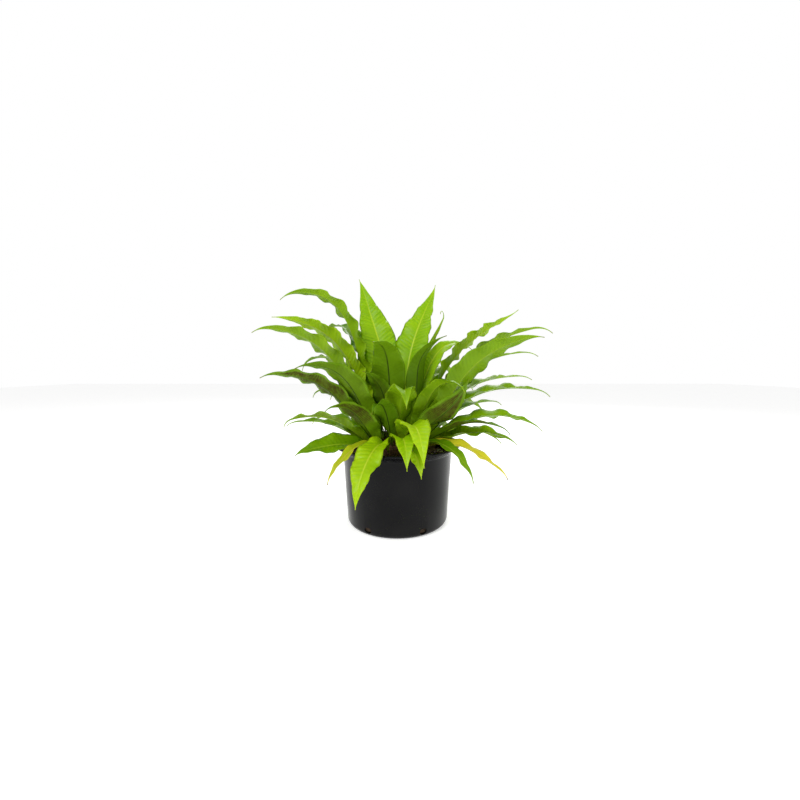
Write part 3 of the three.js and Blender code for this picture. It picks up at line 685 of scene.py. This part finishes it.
pot_plastic = plain_material("black_plastic", (0.0025, 0.0025, 0.003), (0.004, 0.004, 0.0045),
                             0.15, 0.25, 16, 0.00003, dust=0.01, gloss=0.12)
peat = plain_material("peat", (0.016, 0.009, 0.005), (0.05, 0.03, 0.016), 0.85, 0.97, 60, 0.0015)
bark = plain_material("bark", (0.085, 0.045, 0.022), (0.20, 0.12, 0.065), 0.75, 0.95, 90, 0.0008)
perlite = plain_material("perlite", (0.62, 0.60, 0.55), (0.78, 0.77, 0.73), 0.8, 0.95, 120, 0.0005)
fibre = plain_material("crown_fibre", (0.045, 0.022, 0.009), (0.13, 0.068, 0.026), 0.75, 0.95,
                       110, 0.0012)
print("dark finishes made")

# %% [markdown]
# Turned pieces
#
# Pot, mix and crown are round, so a profile is turned about the upright axis: a point at a radius
# and height becomes a ring, and neighbouring rings are joined with quads. Points on the axis become
# one pole each, which keeps the body closed.


# %% Lathe
def turned_mesh(name, profile, segments, bump=None):
    """Points (r cos a, r sin a, z) for every profile point and angle a, with one point at each
    pole. A bump, where given, moves each point up by a function of its place."""
    profile = np.array(profile, float)
    a = np.arange(segments) * 2 * np.pi / segments
    inner = profile[1:-1]
    ring = np.stack([inner[:, :1] * np.cos(a), inner[:, :1] * np.sin(a),
                     np.repeat(inner[:, 1:], segments, axis=1)], axis=-1)
    points = np.vstack([[[0, 0, profile[0, 1]]], ring.reshape(-1, 3), [[0, 0, profile[-1, 1]]]])
    if bump is not None:
        points[:, 2] += bump(points)
    j, i = np.meshgrid(np.arange(len(inner) - 1), np.arange(segments), indexing="ij")
    nxt = (i + 1) % segments
    quads = 1 + np.stack([j * segments + i, j * segments + nxt, (j + 1) * segments + nxt,
                          (j + 1) * segments + i], axis=-1).reshape(-1, 4)
    i = np.arange(segments)
    nxt = (i + 1) % segments
    last = len(points) - 1
    start = np.stack([np.zeros(segments, int), 1 + nxt, 1 + i], axis=-1)
    top = 1 + (len(inner) - 1) * segments
    finish = np.stack([np.full(segments, last), top + i, top + nxt], axis=-1)
    mesh = bpy.data.meshes.new(name)
    mesh.from_pydata(points * MM, [], quads.tolist() + start.tolist() + finish.tolist())
    mesh.polygons.foreach_set("use_smooth", np.ones(len(mesh.polygons), bool))
    return mesh


def shown(name, mesh, paints, node):
    """An object that shows a mesh with its materials in place of a solid."""
    piece = bpy.data.objects.new(name, mesh)
    bpy.context.scene.collection.objects.link(piece)
    for paint in paints:
        mesh.materials.append(paint)
    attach(piece, "root")
    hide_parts(node)


print("lathe ready")

# %% [markdown]
# The pot
#
# A thin-walled nursery pot, narrower at its foot, with a collar that steps out to a rolled rim. Six
# oval drain holes are cut where the wall meets the floor. They are made with a boolean on the turned
# wall, and the result is kept as a mesh, so nothing is left live.

# %% Pot
OUTSIDE = [(0, 0), (91, 0), (93, 0.1), (95.6, 0.5), (97.2, 1.1), (99.1, 2.5), (100.4, 4.2),
           (101.6, 6.4), (102.4, 9), (106.2, 76.5), (110, 144)]
COLLAR = [(110.4, 145.2), (111.2, 146.2), (123.6, 156.6), (124.8, 156.8), (126.2, 156.9)]
RIM = [(126.8, 157.3), (127, 158), (127, 159.8), (126.7, 160.6), (126, 161), (124, 161),
       (123.1, 160.6), (122.6, 159.8)]
INSIDE = [(109.2, 147.4), (108.3, 146.3), (108, 144.8), (104.2, 76.5), (100.4, 9.5), (99.8, 7.2),
          (98.4, 5.4), (92.5, 2.4), (0, 2.4)]
HOLES, FIRST_HOLE, HOLE_POINTS = 6, 58, 28
HOLE_HALF_WIDTH, HOLE_HALF_HEIGHT, HOLE_Z = 7.5, 6, 11
PLUG_FROM, PLUG_TO = 90, 112
SHARP_ANGLE = 38
pot_mesh = turned_mesh("pot_turned", OUTSIDE + COLLAR + RIM + INSIDE, 192)
pot = bpy.data.objects.new("fine_pot_whole", pot_mesh)
bpy.context.scene.collection.objects.link(pot)


def hole_plug(azimuth):
    """A closed oval prism along a radius: the side times a cosine and the height times a sine, at a
    radius inside the wall and again at one outside it."""
    i = np.arange(HOLE_POINTS)
    a = i * 2 * np.pi / HOLE_POINTS
    out, side = heading(azimuth, 0), heading(azimuth + 90, 0)
    oval = side * (HOLE_HALF_WIDTH * np.cos(a))[:, None]
    oval[:, 2] += HOLE_HALF_HEIGHT * np.sin(a) + HOLE_Z
    points = np.vstack([oval + out * PLUG_FROM, oval + out * PLUG_TO])
    nxt = (i + 1) % HOLE_POINTS
    faces = np.stack([i, nxt, nxt + HOLE_POINTS, i + HOLE_POINTS], axis=-1).tolist()
    faces += [i[::-1].tolist(), (i + HOLE_POINTS).tolist()]
    return points * MM, faces


plugs, plug_faces = [], []
for k in range(HOLES):
    points, faces = hole_plug(FIRST_HOLE + 360 / HOLES * k)
    plug_faces += [[corner + 2 * HOLE_POINTS * k for corner in face] for face in faces]
    plugs.append(points)
plug_mesh = bpy.data.meshes.new("plugs")
plug_mesh.from_pydata(np.vstack(plugs), [], plug_faces)
plug = bpy.data.objects.new("plugs", plug_mesh)
bpy.context.scene.collection.objects.link(plug)
cut = pot.modifiers.new("holes", "BOOLEAN")
cut.operation, cut.solver, cut.object = "DIFFERENCE", "EXACT", plug
cut_mesh = bpy.data.meshes.new_from_object(pot.evaluated_get(bpy.context.evaluated_depsgraph_get()))
cut_mesh.name = "pot_with_holes"
bpy.data.objects.remove(pot)
bpy.data.objects.remove(plug)
cut_mesh.polygons.foreach_set("use_smooth", np.ones(len(cut_mesh.polygons), bool))
cut_mesh.set_sharp_from_angle(angle=np.radians(SHARP_ANGLE))
cut_mesh.materials.clear()
shown("fine_pot", cut_mesh, [pot_plastic], "pot")
print("faces in the pot:", len(cut_mesh.polygons))

# %% [markdown]
# The potting mix
#
# Peat with bark fines and a little perlite, filled to just below the collar. The body is turned and
# its top made uneven, and several hundred flat chips are scattered on it as one mesh. A seeded
# draw places them, so the scene comes out the same each time.

# %% Chips
CHIP_Z = 135.6
BARKS, STONES = 700, 120
CUBE_FACES = np.array([[0, 3, 2, 1], [4, 5, 6, 7], [0, 1, 5, 4],
                       [1, 2, 6, 5], [2, 3, 7, 6], [3, 0, 4, 7]])


def chip_points(count, seed, low_r, high_r, size, flat):
    """Small uneven boxes: corners of a unit cube, scaled, moved a little, turned by two random
    angles and set on the mix between two radii."""
    rng = np.random.default_rng(seed)
    square = ((-1, -1), (1, -1), (1, 1), (-1, 1))
    cube = np.array([[x, y, z] for z in (-1, 1) for x, y in square], float)
    shape = cube[None] * rng.uniform(0.5, 1, (count, 1, 3)) * [size, size * 0.6, size * flat]
    shape += rng.normal(0, 0.12 * size * flat, shape.shape)
    turn, tip = rng.uniform(0, 2 * np.pi, count), rng.normal(0, 0.35, count)
    shape = turned(shape, np.array([1.0, 0, 0]), np.repeat(tip[:, None], 8, 1))
    shape = turned(shape, np.array([0, 0, 1.0]), np.repeat(turn[:, None], 8, 1))
    r = np.sqrt(rng.uniform(low_r**2, high_r**2, count))
    a = rng.uniform(0, 2 * np.pi, count)
    z = CHIP_Z + rng.uniform(-0.4, 1.0, count)
    middle = np.stack([r * np.cos(a), r * np.sin(a), z], axis=-1)
    return (shape + middle[:, None]).reshape(-1, 3)


def mix_top(points):
    """Unevenness of the mix: waves of several lengths, only on its top."""
    x, y, z = points.T
    lumps = np.sin(x / 5.1) * np.cos(y / 4.3) + 0.6 * np.sin(x / 2.3 + y / 3.1)
    lumps += 0.4 * np.cos(y / 1.9 - x / 2.7)
    return np.where((z > 133) & (np.hypot(x, y) < 104), 0.7 * lumps, 0)


SOIL = [(0, 2.8), (91.5, 2.8), (97.6, 6.4), (99.9, 12), (106.7, 132)]
SOIL += [(r, 135.2) for r in np.linspace(103, 62, 34)] + [(58.4, 133.4), (58.4, 125.6), (0, 125.6)]
soil_mesh = turned_mesh("mix_turned", SOIL, 180, mix_top)
points = np.empty(len(soil_mesh.vertices) * 3)
soil_mesh.vertices.foreach_get("co", points)
base_points = points.reshape(-1, 3)
base_faces = [list(face.vertices) for face in soil_mesh.polygons]
barks = chip_points(BARKS, 4, 61, 104, 4.2, 0.3)
stones = chip_points(STONES, 9, 62, 104, 2.0, 0.8)
chips = np.vstack([barks, stones]) * MM
first = len(base_points) + 8 * np.arange(BARKS + STONES)
chip_faces = (CUBE_FACES[None] + first[:, None, None]).reshape(-1, 4)
mix_mesh = bpy.data.meshes.new("mix_and_chips")
mix_mesh.from_pydata(np.vstack([base_points, chips]), [], base_faces + chip_faces.tolist())
which = np.repeat([0, 1, 2], [len(base_faces), 6 * BARKS, 6 * STONES])
shown("fine_mix", mix_mesh, [peat, bark, perlite], "potting_mix")
mix_mesh.polygons.foreach_set("material_index", which.astype(np.int32))
mix_mesh.polygons.foreach_set("use_smooth", which == 0)
print("chips on the mix:", BARKS, "of bark and", STONES, "of perlite")

# %% [markdown]
# The crown
#
# All fronds spring from a short upright stem, a dome of old frond feet and dark brown fibres. The
# dome is turned, and thin upright spikes on it stand for the fibres and scales.

# %% Crown
FIBRES, FIBRE_RADIUS, FIBRE_DEPTH = 2600, 57, 0.6


def scaly(points):
    """Unevenness of the dome: the product of two short waves, only above its foot."""
    x, y, z = points.T
    return np.where(z > 128, 0.5 * np.sin(x / 1.7) * np.sin(y / 1.3), 0)


dome_radii = CROWN_R * np.sin(np.linspace(np.pi / 2, 0, 30))
DOME = [(0, 126), (56, 126), (CROWN_R, 127)] + [(r, dome_height(r)) for r in dome_radii]
dome_mesh = turned_mesh("dome_turned", DOME, 120, scaly)
points = np.empty(len(dome_mesh.vertices) * 3)
dome_mesh.vertices.foreach_get("co", points)
rng = np.random.default_rng(21)
r, a = FIBRE_RADIUS * np.sqrt(rng.uniform(0, 1, FIBRES)), rng.uniform(0, 2 * np.pi, FIBRES)
foot_at = np.stack([r * np.cos(a), r * np.sin(a), dome_height(r) - FIBRE_DEPTH], axis=-1)
lean = np.stack([np.cos(a) * r / CROWN_R, np.sin(a) * r / CROWN_R, np.ones(FIBRES)], axis=-1)
lean += rng.normal(0, 0.28, (FIBRES, 3))
lean /= np.linalg.norm(lean, axis=1, keepdims=True)
tall, stout = rng.uniform(3, 9, FIBRES), rng.uniform(0.25, 0.7, FIBRES)
cross = np.cross(lean, [1.0, 0.3, 0.1])
cross /= np.linalg.norm(cross, axis=1, keepdims=True)
third = np.cross(lean, cross)
corners = [foot_at + stout[:, None] * (np.cos(w) * cross + np.sin(w) * third)
           for w in np.array([0, 2, 4]) * np.pi / 3]
spikes = np.stack(corners + [foot_at + lean * tall[:, None]], axis=1).reshape(-1, 3) * MM
SPIKE_FACES = np.array([[0, 1, 3], [1, 2, 3], [2, 0, 3], [2, 1, 0]])
first = len(points) // 3 + 4 * np.arange(FIBRES)
spike_faces = (SPIKE_FACES[None] + first[:, None, None]).reshape(-1, 3)
crown_mesh = bpy.data.meshes.new("crown_and_fibres")
crown_mesh.from_pydata(np.vstack([points.reshape(-1, 3), spikes]), [],
                       [list(face.vertices) for face in dome_mesh.polygons] + spike_faces.tolist())
shown("fine_crown", crown_mesh, [fibre], "crown")
print("fibres on the crown:", FIBRES)
